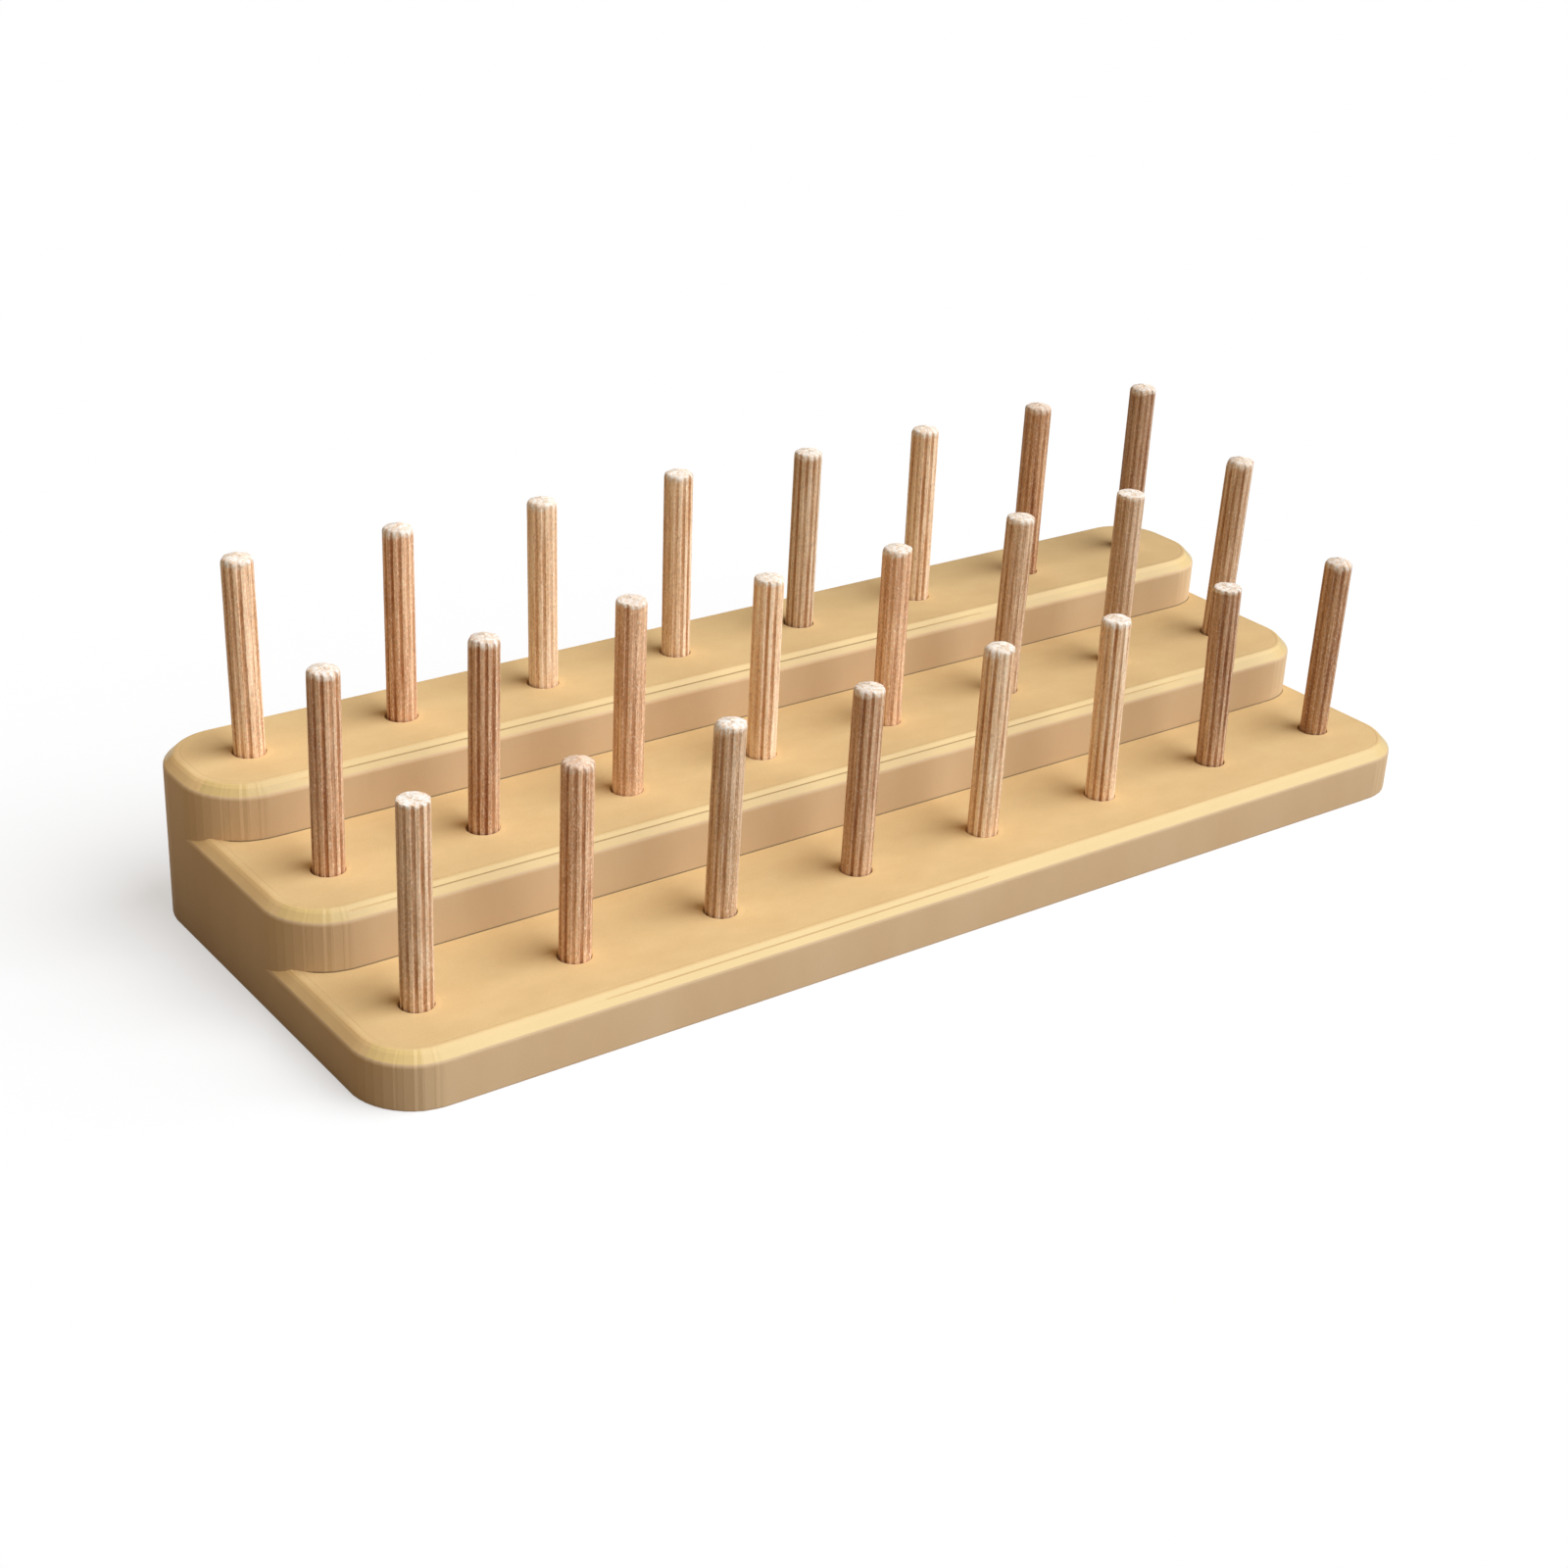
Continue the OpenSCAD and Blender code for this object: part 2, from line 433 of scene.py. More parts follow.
def painted_wall_light(step, ways):
    """Painted light and shade on a wall. The walls' material is painted paler from foot to top of
    the whole block. In front, where each step starts as dark as the last, this factor takes the
    higher steps back. Their corners are painted paler, as light, by a share of 2 |x| |y|, for a
    way (x, y) of length 1."""
    across, front = np.abs(ways / np.linalg.norm(ways, axis=1)[:, None]).T * (ways[:, 1] < 0.01)
    return 1 + (FRONT_PAINTED_LIGHT[step] - 1) * front**6 + 2 * CORNER_PAINTED_LIGHT[step] * across * front


# %% The kind and the tone of a bevel's faces, in bands measured in from the wall, with painted light and shade
BEVEL_TONE, ABOVE_GROOVE, LOOK_WIDTH = (1.0, 0.98, 0.98), (1.02, 1.06, 1.06), (2.3, 2.4, 2.3)
# Painted light on the left bevels, and painted shade on the bevels of the right front corner
LEFT_PAINTED_LIGHT, RIGHT_PAINTED_SHADE = 0.18, 0.22
ARRIS_WIDE, ABOVE_TO = 0.28, 2.15
# The upper band gets the painted side light once more, by this share
UPPER_BAND, UPPER_PAINTED_SHARE = (1.45, 2.2), 0.55
# Painted shade in the dip along the rim
DIP_BAND, DIP_PAINTED_SHADE = (2.7, 3.25), 0.97
# Painted shade along the bevel's groove: where, how wide, and how much darker
DARK_OFF, DARK_HALF, GROOVE_PAINTED_SHADE = 0.02, 0.12, 0.33
DULL_SIDE, DULL_GROOVE = 0.92, 0.1


def painted_side_light(ways):
    """Painted light and shade added to a bevel's tone. At the left it is painted paler, as light,
    by the share of x. On the right front corner, 35 degrees from the right, it would mirror the
    window, so painted shade makes it darker there, by (2.6 x^2 |y|)^4, whose peak is 1."""
    x, y = (ways / np.linalg.norm(ways, axis=1)[:, None]).T
    return np.where(x < 0, -LEFT_PAINTED_LIGHT * x, -RIGHT_PAINTED_SHADE * np.clip(-2.6 * x**2 * y, 0, 1) ** 4)


def bevel_faces(step, shows, side, side_painted_light):
    """Kind and tone of each face, by how far in its middle lies. The groove is painted dark, as
    shade, and the band above it pale, and the painted side light is added, once more on the upper
    band. The dip along the rim is painted a little darker, as shade. The rounded arris belongs
    to the wall, and the groove and the sides are as dull as a tread."""
    middle = 0.5 * (BEVEL_IN[1:] + BEVEL_IN[:-1])[:, None]
    shows, side, side_painted_light = shows[None], side[None], side_painted_light[None]
    on_bevel = middle < LOOK_WIDTH[step] + (SIDE_WIDTH - LOOK_WIDTH[step]) * side
    above = between(middle, GROOVE_AT[step] + GROOVE_HALF, ABOVE_TO)
    tone = np.where(above, ABOVE_GROOVE[step], 1.0)
    tone = tone * np.where(on_bevel, BEVEL_TONE[step] + side_painted_light, 1.0)
    tone = tone * np.where(between(middle, *UPPER_BAND), 1 + UPPER_PAINTED_SHARE * side_painted_light, 1.0)
    tone = np.where(between(middle, *DIP_BAND), DIP_PAINTED_SHADE, tone)
    in_groove = np.abs(middle - GROOVE_AT[step] - DARK_OFF) < DARK_HALF
    glossy = on_bevel & (side < DULL_SIDE) & ~(in_groove & (shows > DULL_GROOVE))
    kind = np.where(middle < ARRIS_WIDE, WALL, np.where(glossy, BEVEL, TREAD))
    return kind, tone * (1 - GROOVE_PAINTED_SHADE * in_groove * shows)


# %% The foot of the block, rounded by pairs of how far in and how high, and the lowest wall
FOOT = ((0.25, 0), (0.06, 0.08), (0, 0.3))
around, ways = (np.concatenate(pair) for pair in zip(front_of(0), behind(0)))
levels = [at_height(around - ways * inward, z) for inward, z in FOOT]
levels.append(at_height(around, TREADS[0] + BEVEL_Z[0][0]))
underside = levels[0][:, :2]
# The lowest wall carries the painted light and shade of the walls
strip(np.stack(levels), WALL, [painted_wall_light(0, ways)] * len(FOOT), closed=True)


# %% The bevel of a step
def bevel_grid(step, points, ways, shows):
    """Rows lie further in and higher. The height is the plain bevel's, taken towards the
    grooved one by `shows`, and towards the side's narrower one by the share of the side."""
    grid = points[None] - BEVEL_IN[:, None, None] * ways[None]
    plain, grooved, narrow = (z[:, None] for z in (PLAIN_Z[step], BEVEL_Z[step], SIDE_Z))
    height = plain + (grooved - plain) * shows[None] + (narrow - plain) * side_share(ways)[None]
    return np.concatenate([grid, (TREADS[step] + height)[..., None]], 2)


# %% [markdown]
# Where a riser stands on a tread, the print has a fine crease, which is cut into the tread. The
# crease and the lowest strip of the riser are painted dark, as shade. Its section is drawn by
# pairs of shares, of its width out from the riser and of its depth. It fades out halfway round
# the front corners.

# %% Each step's bevel, the wall of the step above it, and the crease between the two
# The crease and the foot of the riser above it are painted darker, as shade
CREASE_WIDE, CREASE_DEEP, CREASE_UP, CREASE_PAINTED_SHADE = 0.24, 0.06, 0.16, 0.55
CREASE = ((1, 0), (0.7, 1), (0, 1))
fade = np.clip(PLACES - 5, 0, 1)
fade = np.concatenate([fade, np.ones(len(FRONT_X)), fade[::-1]])
rims = []
for step in range(2):
    points, ways = front_of(step)
    side = SIDE_Y[between(SIDE_Y, starts_y[step] + JUST, rim_y[step + 1])][::-1]
    left = np.stack([side * 0 - HALF_LENGTH, side], 1)
    points = np.concatenate([left, points, (left * FLIP)[::-1]])
    ways = np.concatenate([left * 0 + (-1, 0), ways, left * 0 + (1, 0)])
    shows = groove_share(step, points, ways)
    grid = bevel_grid(step, points, ways, shows)
    meeting = corner_ways(MEETS) * RADIUS + (-HALF_LENGTH + RADIUS, centres_y[step + 1])
    level = TREADS[step] + SIDE_Z
    ends = [at_height(m, level)[:, None] for m in (meeting, meeting * FLIP)]
    grid = np.concatenate([ends[0], grid, ends[1]], 1)
    side, side_painted_light = np.append(side_share(ways), 1), np.append(painted_side_light(ways), 0)
    strip(grid, *bevel_faces(step, np.append(shows, 0), side, side_painted_light))

    points, ways = front_of(step + 1)
    met = PLACES <= rim_place + JUST
    line = np.where(met, np.interp(PLACES, MEETS, SIDE_Z), 0)
    line = np.concatenate([line, np.zeros(len(FRONT_X)), line[::-1]])
    rest, rest_ways = behind(step + 1)
    still = rest[:, 0] * 0 + BEVEL_Z[step][0]
    low_line = TREADS[step] + np.concatenate([line - CREASE_DEEP * fade, still])
    # Up to this line the riser's foot is painted dark, as shade in the crease
    crease_shade_line = TREADS[step] + np.concatenate([line + CREASE_UP * fade, still])
    top_line = TREADS[step + 1] + BEVEL_Z[step + 1][0]
    around = np.concatenate([points, rest])
    levels = [at_height(around, z) for z in (low_line, crease_shade_line, top_line)]
    tone = painted_wall_light(step + 1, np.concatenate([ways, rest_ways]))
    strip(np.stack(levels), WALL, [tone * CREASE_PAINTED_SHADE, tone], closed=True)

    free = np.concatenate([~met, np.ones(len(FRONT_X), bool), ~met[::-1]])
    free[np.flatnonzero(free)[0] - 1] = free[np.flatnonzero(free)[-1] + 1] = True
    out = ways * (CREASE_WIDE * fade)[:, None]
    crease = [at_height(points + out * far, TREADS[step] - CREASE_DEEP * fade * deep)[free]
              for far, deep in CREASE]
    # The crease itself is painted dark, as shade
    strip(np.stack(crease), TREAD, CREASE_PAINTED_SHADE)
    rims.append(np.concatenate([grid[-1], crease[0][::-1][1:-1]]))

# %% The top step's bevel runs all round
points, ways = (np.concatenate(pair) for pair in zip(front_of(2), behind(2)))
shows = groove_share(2, points, ways)
grid = bevel_grid(2, points, ways, shows)
strip(grid, *bevel_faces(2, shows, side_share(ways), painted_side_light(ways)), closed=True)
rims.append(grid[-1])
print("strips so far:", len(skin))

# %% [markdown]
# ## Treads and sockets
#
# A tread is flat, with eight holes. A triangulation fills the outline round the holes. Each
# socket is a profile turned about its axis: a low lip that the nozzle left round the hole, a
# small rounded mouth, the wall and the floor.

# %% Fill a flat outline, leaving round holes open
LIP_RADIUS = 4.5
ROUND = np.linspace(0, 2 * np.pi, 64, endpoint=False)
CIRCLE = np.stack([np.cos(ROUND), np.sin(ROUND)], 1)


def inside(points, ring):
    """A point is inside if a ray from it to the right crosses the ring an odd number of times."""
    x, y = points[:, :1], points[:, 1:]
    (ax, ay), (bx, by) = ring.T, np.roll(ring, -1, axis=0).T
    crosses = (ay > y) != (by > y)
    reach = ax + (y - ay) * (bx - ax) / np.where(by == ay, 1, by - ay)
    return (crosses & (x < reach)).sum(1) % 2 == 1


def fill(outline, holes, z, upward=True):
    """Triangles whose middles lie inside the outline and outside every hole. The points are
    first rounded to single precision, as the triangulation does, so that thin slivers along a
    straight side fall on the right side of it."""
    rings = [outline] + [hole + LIP_RADIUS * CIRCLE for hole in holes]
    rings = [ring.astype(np.float32).astype(float) for ring in rings]
    sides, start = [], 0
    for ring in rings:
        n = len(ring)
        sides += [(start + i, start + (i + 1) % n) for i in range(n)]
        start += n
    flat = [Vector(p) for p in np.concatenate(rings).tolist()]
    verts, _, faces, *_ = delaunay_2d_cdt(flat, sides, [], 0, 1e-7, False)
    verts, faces = np.array([tuple(v) for v in verts]), np.array(faces)
    middles = verts[faces].mean(1)
    kept = inside(middles, rings[0])
    for ring in rings[1:]:
        kept &= ~inside(middles, ring)
    faces = faces[kept]
    a, b, c = (verts[faces[:, i]] for i in range(3))
    turn = (b - a)[:, 0] * (c - a)[:, 1] - (b - a)[:, 1] * (c - a)[:, 0]
    faces = np.where((turn > 0)[:, None] == upward, faces, faces[:, ::-1])
    skin.append((at_height(verts, z), faces, np.full(len(faces), TREAD), np.ones(len(faces))))


# %% The treads, the sockets and the underside
SOCKET = np.array([
    (LIP_RADIUS, 0), (4.3, 0.012), (3.9, 0.03), (3.45, 0.02), (3.26, -0.02),
    (SOCKET_RADIUS, -0.1), (SOCKET_RADIUS, -9.6), (3.0, -SOCKET_DEPTH), (0, -SOCKET_DEPTH),
])
for y, z, rim in zip(PEG_Y, TREADS, rims):
    holes = [np.array([x, y]) for x in PEG_X]
    fill(rim[:, :2], holes, z)
    for hole in holes:
        ring = hole + SOCKET[:, :1, None] * CIRCLE[None]
        level = np.broadcast_to((z + SOCKET[:, 1])[:, None, None], (*ring.shape[:2], 1))
        strip(np.concatenate([ring, level], 2), TREAD, closed=True)
fill(underside, [], 0.0, upward=False)
print("strips and flats:", len(skin))


# %% [markdown]
# ## One closed mesh
#
# The strips' points are put in one list and those that coincide are welded. A printed block is
# a closed solid, so the mesh is tested: every edge has to have exactly two faces.

# %% Weld a mesh
def weld(mesh, near):
    """Welds points nearer than `near` metres, and counts the edges that haven't two faces."""
    work = bmesh.new()
    work.from_mesh(mesh)
    bmesh.ops.remove_doubles(work, verts=work.verts, dist=near)
    loose = sum(len(edge.link_faces) != 2 for edge in work.edges)
    work.to_mesh(mesh)
    work.free()
    return loose


# %% Join the strips. The kind of a face is the number of its material
def make_block(name, parts):
    """Joins (points in mm, faces, kinds, tones) and welds points that coincide."""
    points, faces, kinds, tones = zip(*parts)
    starts = np.cumsum([0] + [len(verts) for verts in points])
    faces = [face for start, some in zip(starts, faces) for face in (some + start).tolist()]
    mesh = bpy.data.meshes.new(name)
    mesh.from_pydata((np.concatenate(points) * MM).tolist(), [], faces)
    mesh.polygons.foreach_set("material_index", np.concatenate(kinds).astype(np.int32))
    layer = mesh.attributes.new("tone", "FLOAT", "FACE")
    layer.data.foreach_set("value", np.concatenate(tones).astype(np.float32))
    loose = weld(mesh, near=2e-6)
    made = bpy.data.objects.new(name, mesh)
    scene.collection.objects.link(made)
    print(name, "faces:", len(mesh.polygons), "open edges:", loose)
    return made


# %% The block
block = make_block("printed_block", skin)
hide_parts("base")
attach(block, "stand")

# %% [markdown]
# ## Printed plastic
#
# The block is PLA, the common printing plastic, in a wood-like tan. Three finishes come from
# how the nozzle moved. A wall is a stack of round beads, one to each layer of 0.2 mm: too fine
# to see singly, they spread a reflection up and down the wall, which is what an anisotropic
# gloss with an upright tangent does. A bevel is the stepped edges of a few layers, pale and
# with a satin sheen. A tread is laid in rows side by side, which leaves it matt and cloudy.
# All are painted darker in the grooves and the creases, as shade, and lighter or darker where
# the tone attribute paints light and shade. The photograph's walls grow paler upwards and its
# treads duller to the right and back, light and shade that are painted in here, so the colour
# may fall slowly over the stand.

# %% Colour shared by all three: clouds, fine specks, the tone of the face and the slow fall of painted light and shade
def plastic_colour(tree, dark, light, spread, speckle, painted_falls, painted_twist):
    """Two colours mixed by a stretched noise, times the tone of the face, times a fine noise of
    1 +- speckle, times 1 - (the fall . place + the twist * x * y), with the place in metres.
    The last factor is a slow fall of painted light and shade."""
    place = add(tree, "TexCoord").outputs["Object"]
    stretched = add(tree, "Mapping", {"Vector": place, "Scale": spread}).outputs[0]
    cloud = add(tree, "TexNoise", {"Vector": stretched, "Scale": 1.0, "Detail": 4.0,
                                   "Roughness": 0.55}).outputs[0]
    part = add(tree, "MapRange", {"Value": cloud, "From Min": 0.3, "From Max": 0.7}).outputs[0]
    mixed = add(tree, "Mix", {0: part, 6: linear(dark), 7: linear(light)}, data_type="RGBA")
    speck = add(tree, "TexNoise", {"Vector": place, "Scale": 2800.0, "Detail": 1.0}).outputs[0]
    speck = add(tree, "MapRange", {"Value": speck, "From Min": 0.3, "From Max": 0.7,
                                   "To Min": 1 - speckle, "To Max": 1 + speckle}).outputs[0]
    painted_fall = add(tree, "VectorMath", {0: place, 1: painted_falls}, operation="DOT_PRODUCT").outputs["Value"]
    x, y, _ = add(tree, "SeparateXYZ", {"Vector": place}).outputs
    both = add(tree, "Math", {0: x, 1: y}, operation="MULTIPLY").outputs[0]
    painted_fall = add(tree, "Math", {0: both, 1: painted_twist, 2: painted_fall}, operation="MULTIPLY_ADD").outputs[0]
    painted_fall = add(tree, "Math", {0: 1.0, 1: painted_fall}, operation="SUBTRACT").outputs[0]
    tone = add(tree, "Attribute", attribute_name="tone").outputs["Fac"]
    tone = add(tree, "Math", {0: tone, 1: speck}, operation="MULTIPLY").outputs[0]
    tone = add(tree, "Math", {0: tone, 1: painted_fall}, operation="MULTIPLY").outputs[0]
    scaled = add(tree, "VectorMath", {0: mixed.outputs[2]}, operation="SCALE")
    tree.links.new(tone, scaled.inputs["Scale"])
    return place, scaled.outputs[0]


# %% A finish, with its colour, dullness and sheen, and a gloss spread along upright beads or not
def printed_plastic(name, colours, dullness, sheen, spread_up):
    made = bpy.data.materials.new(name)
    tree = blank(made)
    place, colour = plastic_colour(tree, *colours)
    grain = add(tree, "TexNoise", {"Vector": place, "Scale": 2200.0, "Detail": 2.0}).outputs[0]
    relief = add(tree, "Bump", {"Height": grain, "Strength": 0.12, "Distance": 0.0001}).outputs[0]
    gloss = add(tree, "BsdfPrincipled", {
        "Base Color": colour, "Roughness": dullness, "IOR": 1.46, "Specular IOR Level": sheen,
        "Anisotropic": spread_up, "Normal": relief,
    })
    if spread_up:
        upright = add(tree, "CombineXYZ", {"X": 0.0, "Y": 0.0, "Z": 1.0}).outputs[0]
        tree.links.new(upright, gloss.inputs["Tangent"])
    add(tree, "OutputMaterial", {"Surface": gloss.outputs[0]})
    return made


# %% The three finishes: dark, light, spread, speckle, the painted falls and twist of light and shade, then dullness and sheen
for name, colours, dullness, sheen, spread_up in (
    ("PLA tan, wall of stacked layers",
     # The walls are painted paler upwards, as light, by the fall (0, 0, -8)
     ("#CDB08B", "#D3B995", (70, 70, 25), 0.01, (0, 0, -8), 0), 0.52, 0.05, 0.9),
    ("PLA tan, bevel of stepped layers",
     ("#DABC7E", "#DEC082", (60, 60, 60), 0.01, (0, 0, 0), 0), 0.42, 0.5, 0.0),
    ("PLA tan, top of laid rows",
     # The treads are painted darker to the right and back, as shade, by the fall and the twist
     ("#DDBA85", "#E3C28C", (110, 170, 110), 0.02, (0.7, 0.3, 0), 14), 0.7, 0.12, 0.0),
):
    block.data.materials.append(printed_plastic(name, colours, dullness, sheen, spread_up))
print("finishes of the block:", [m.name for m in block.data.materials])

# %% [markdown]
# ## The dowels
#
# Joiners' dowels are beech rods with twelve grooves rolled into them, sawn to length. A full
# groove is part of a circle, 0.75 mm wide at its mouth and 0.4 mm deep. A rod could be carved
# by cutting grooves from a cylinder, but here its radius is written as a function of the angle
# and the height, which also gives each dowel its own wear. The grooves come out uneven, some
# nearly closed, and both ends are tumbled round and fuzzy.

# %% Sizes of a dowel, in millimetres, and the angles of its points across a groove
DOWEL_RADIUS, DOWEL_LENGTH = 3.0, 49.0
GROOVES = 12
GROOVE_RADIUS, GROOVE_CENTRE = 0.3758, 2.9758
GROOVE_EDGE, EASED_EDGE, EASED = math.radians(7.3), math.radians(8.0), 0.06
LOCAL = np.array([-12, -8.6, -7.6, -7.0, -5.6, -3.4, -1.1, 1.1, 3.4, 5.6, 7.0, 7.6, 8.6, 12])
ANGLES = np.radians((np.arange(GROOVES)[:, None] * 360 / GROOVES + LOCAL[None]).ravel())
NEAREST = np.radians(np.tile(LOCAL, GROOVES))
ROWS = np.concatenate([
    [0, 0.06, 0.15, 0.27, 0.4, 0.6, 1.0], np.linspace(1.7, DOWEL_LENGTH - 2.1, 66),
    DOWEL_LENGTH - np.array([1.8, 1.5, 1.25, 1.05, 0.85, 0.67, 0.5, 0.35, 0.22, 0.12, 0.05, 0]),
])
print("points on a dowel's side:", len(ANGLES) * len(ROWS))


# %% The radius of the rod's side
def rod_radius(depth):
    """On a land, the rod's radius, eased off at its edges. In a groove, the near side of the
    roller's circle, c cos a - sqrt(q^2 - c^2 sin^2 a), taken from the rod's radius by the
    groove's depth, which is 1 for a full one. Depth has a row for each height and a column for
    each groove."""
    inside = np.maximum(GROOVE_RADIUS**2 - (GROOVE_CENTRE * np.sin(NEAREST)) ** 2, 0)
    groove = GROOVE_CENTRE * np.cos(NEAREST) - np.sqrt(inside)
    depth = np.repeat(depth, len(LOCAL), axis=1)
    eased = DOWEL_RADIUS - EASED * depth * (np.abs(NEAREST) < EASED_EDGE)
    cut = DOWEL_RADIUS - (DOWEL_RADIUS - groove) * depth
    return np.where(np.abs(NEAREST) < GROOVE_EDGE, cut, eased)


# %% The worn side of a dowel
FULL_TURN = 6.28
FIBRE = 0.006


def worn_side(chance, z, left_deep):
    """The rod's side at the heights z. Each groove has its own depth, which two slow waves vary
    along it. Also gives the roughness of the fibres, and six of their waves' phases."""
    slow = chance.uniform(0, FULL_TURN, (2, 1, GROOVES))
    depth = chance.uniform(0.3, 0.95, GROOVES) + 0.12 * np.cos(z[:, None] * 0.19 + slow[0])
    depth = np.clip(depth + 0.08 * np.cos(z[:, None] * 0.55 + slow[1]), 0.05, 1) * left_deep
    waves = chance.uniform(0, FULL_TURN, (6, 1, len(ANGLES)))
    pitch = chance.uniform(0.15, 0.9, (6, 1, 1))
    fibre = np.cos(pitch * z[None, :, None] + waves).sum(0) * FIBRE
    fibre += chance.normal(0, FIBRE, (len(z), len(ANGLES)))
    return rod_radius(depth), fibre, waves[:, 0, 0]


# %% The rounding of an end
def rounding(away, reach):
    """How far an end's edge is cut in at a distance away from the end."""
    part = np.clip(1 - away / reach, 0, 1)
    return 0.7 * reach * (1 - np.sqrt(1 - part**2))


# %% The lean of a dowel
CAMERA_RIGHT = np.array([0.808, -0.589, 0.0])
DEEPER = np.array([0.589, 0.808, 0.0])
AWAY_MOST = 0.35


def leaned(points, slope, away, radius):
    """Turns points so that their +Z leans by the slope to the camera's right and by `away` into
    the picture. The foot's rim would sink by radius * sin(lean), so they are lifted by that."""
    axis = np.array([0, 0, 1.0]) + slope * CAMERA_RIGHT + away * DEEPER
    axis /= np.linalg.norm(axis)
    across = np.cross(axis, [0, 1, 0])
    across /= np.linalg.norm(across)
    points = points @ np.stack([across, np.cross(axis, across), axis])
    points[..., 2] += radius * math.sqrt(1 - axis[2] ** 2)
    return points


# %% [markdown]
# ## How each dowel stands
#
# The photograph shows every dowel standing a little differently. One dowel could be copied 24
# times, but a row of copies looks drawn. This table has, for each: the lean to the camera's
# right in degrees, how far it stands off its socket's middle, how far its rim is above the
# drawn height, how far down the rounding of the top reaches, how much further that is on the
# right, how high the end is domed, how white it is, the radius, how much of the grooves' depth
# wear has left, and the wood with its shade.

# %% The table, left to right in each row
STANDING = {
    "front": [
        (0.10, 0.13, 0.20, 0.30, 0.2, 0.05, 1.00, 3.00, 1.00, "tan", 1.07),
        (0.30, 0.13, -0.55, 1.00, 0.1, 0.45, 0.35, 3.00, 0.90, "red", 1.15),
        (0.88, 0.00, -0.75, 1.00, 0.6, 0.25, 1.00, 3.02, 0.70, "tan", 0.93),
        (0.65, 0.00, -0.70, 0.90, 0.1, 0.40, 0.85, 3.02, 0.85, "red", 0.94),
        (0.40, 0.05, 0.80, 1.10, 0.5, 0.20, 0.85, 3.06, 0.75, "pale", 1.08),
        (-0.60, 0.02, -0.05, 0.90, 0.2, 0.15, 0.95, 3.03, 0.80, "pale", 1.08),
        (-1.30, 0.00, 0.55, 0.50, 0.2, 0.05, 0.90, 2.95, 0.95, "red", 0.87),
        (0.30, 0.15, 0.40, 1.10, 0.0, 0.50, 0.75, 2.92, 0.70, "brown", 0.90),
    ],
    "middle": [
        (0.45, 0.15, -0.10, 0.90, 0.0, 0.35, 0.90, 2.97, 1.00, "red", 1.09),
        (0.45, 0.18, -0.90, 1.00, 0.1, 0.40, 0.85, 2.94, 0.95, "red", 1.01),
        (0.15, 0.14, 0.20, 0.60, 0.0, 0.15, 0.85, 3.00, 0.50, "red", 1.16),
        (0.10, 0.10, -1.50, 0.80, 0.1, 0.30, 0.90, 3.00, 0.80, "pale", 1.17),
        (0.00, 0.12, -1.20, 0.90, 0.4, 0.30, 0.90, 3.00, 0.60, "red", 1.22),
        (0.90, 0.15, -0.20, 0.80, 0.1, 0.30, 0.85, 2.97, 0.95, "tan", 0.93),
        (0.25, 0.14, -0.40, 0.60, 0.0, 0.10, 0.90, 3.00, 0.50, "tan", 0.85),
        (1.10, 0.15, 2.00, 1.20, 0.4, 0.45, 0.70, 2.95, 0.90, "tan", 0.93),
    ],
    "back": [
        (-0.70, 0.08, -0.50, 1.00, 0.2, 0.40, 0.90, 2.97, 0.70, "tan", 1.32),
        (0.00, 0.14, -0.45, 1.20, 0.1, 0.45, 0.90, 2.93, 0.85, "red", 1.22),
        (-0.60, 0.10, -0.75, 1.00, 0.1, 0.35, 0.85, 2.93, 0.50, "pale", 1.13),
        (-0.50, 0.10, -0.40, 0.90, 0.1, 0.35, 0.85, 2.93, 0.90, "pale", 1.09),
        (0.30, 0.10, -0.90, 0.90, 0.1, 0.35, 0.80, 2.92, 0.85, "pale", 0.85),
        (-0.35, 0.10, -0.80, 0.90, 0.2, 0.35, 0.85, 2.93, 0.70, "pale", 1.10),
        (0.20, 0.10, -0.40, 1.00, 0.0, 0.40, 0.55, 2.92, 0.60, "brown", 0.98),
        (0.10, 0.15, -0.50, 1.00, 0.1, 0.40, 0.80, 2.92, 0.80, "red", 0.78),
    ],
}
print("dowels to a row:", [len(row) for row in STANDING.values()])

# %% One dowel
END_SHARES = np.array([0.93, 0.8, 0.6, 0.4, 0.2, 0.0])[:, None]
SAWN_ROUGH, FOOT_REACH, FULLY_DARK = 0.02, 0.5, 0.3
STAYS = 2  # the height up to which a longer or shorter dowel isn't stretched


